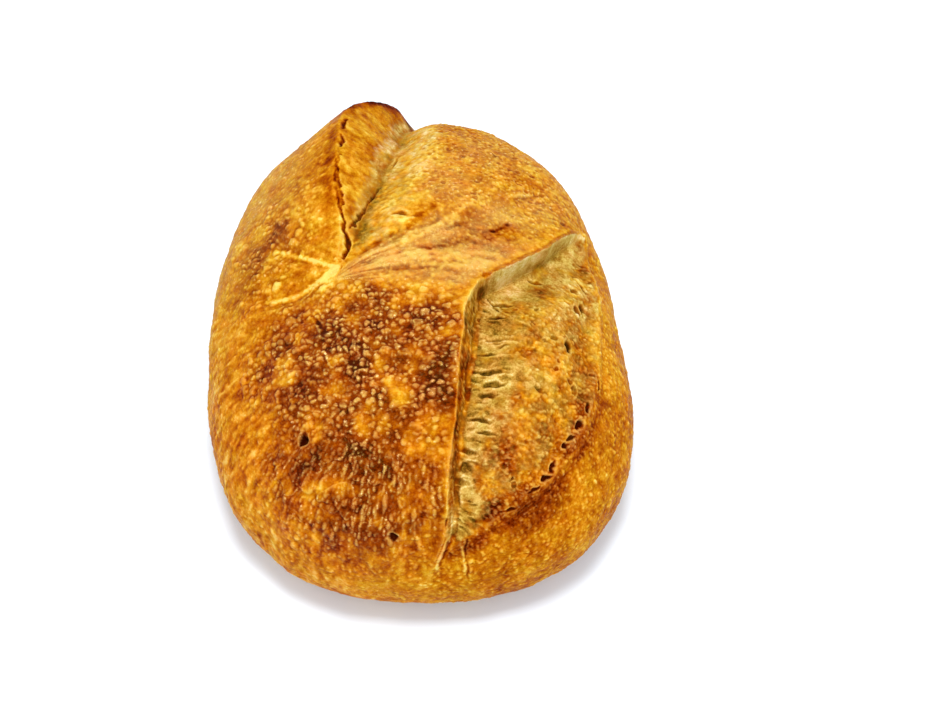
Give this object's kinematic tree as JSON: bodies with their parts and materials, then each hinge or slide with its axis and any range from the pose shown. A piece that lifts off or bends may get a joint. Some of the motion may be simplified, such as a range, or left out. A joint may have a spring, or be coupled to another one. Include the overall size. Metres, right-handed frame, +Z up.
{
  "type": "sourdough loaf",
  "caption": "Oval hearth-baked sourdough loaf with a flat base, a domed blistered crust and curved scores that have opened into raised ears.",
  "frame": {"origin": "centre of the loaf's outline at the level of its flat base", "axes": "+Z up, +Y towards the narrow end with the tall ear, +X to the side that the front score opens towards"},
  "size_m": [0.2018, 0.2628, 0.1069],
  "materials": {
    "crust": "baked golden-brown bread crust, blistered, satin, with paler torn crumb along the scores"
  },
  "bodies": {
    "root": {"loaf": "crust"}
  },
  "joints": []
}
